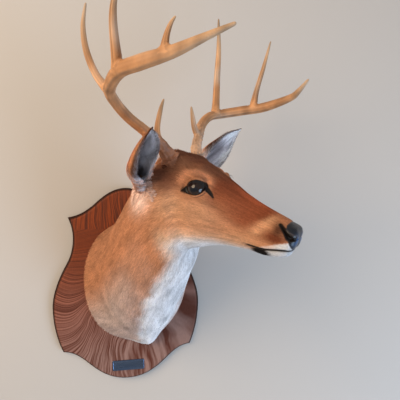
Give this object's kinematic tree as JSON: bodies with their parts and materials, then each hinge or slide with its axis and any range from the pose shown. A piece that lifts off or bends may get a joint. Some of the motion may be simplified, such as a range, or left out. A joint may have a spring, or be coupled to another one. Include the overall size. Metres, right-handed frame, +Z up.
{
  "type": "deer shoulder mount",
  "caption": "Taxidermy head and neck of an antlered white-tailed deer, turned to its left, on a scalloped wooden wall shield with a bare metal plate.",
  "frame": {"origin": "centre of the shield's width on its flat back face, at the height of the middle of the screw line, on the wall", "axes": "+Y into the wall, +X to the deer's left, +Z up; the mount stands out of the wall along -Y"},
  "size_m": [0.56, 0.6037, 0.899],
  "materials": {
    "coat": "short tan deer hair, matt",
    "nose": "wet black nose leather",
    "eye": "very dark brown glass, polished",
    "antler": "honey-brown bone, satin",
    "wood": "red-brown stained oak, satin varnish",
    "plate": "dark blue-grey metal, polished"
  },
  "bodies": {
    "root": {"nose": "nose", "lower_jaw": "coat", "head": "coat", "neck": "coat", "shoulder": "coat", "ear_right": "coat", "ear_left": "coat", "eye_right": "eye", "eye_left": "eye", "antler_right_beam_1": "antler", "antler_right_beam_2": "antler", "antler_right_beam_3": "antler", "antler_right_beam_4": "antler", "antler_right_brow_tine": "antler", "antler_right_second_tine": "antler", "antler_right_third_tine": "antler", "antler_right_fourth_tine": "antler", "antler_left_beam_1": "antler", "antler_left_beam_2": "antler", "antler_left_beam_3": "antler", "antler_left_brow_tine": "antler", "antler_left_second_tine": "antler", "antler_left_third_tine": "antler", "shield": "wood", "plate": "plate"}
  },
  "joints": []
}
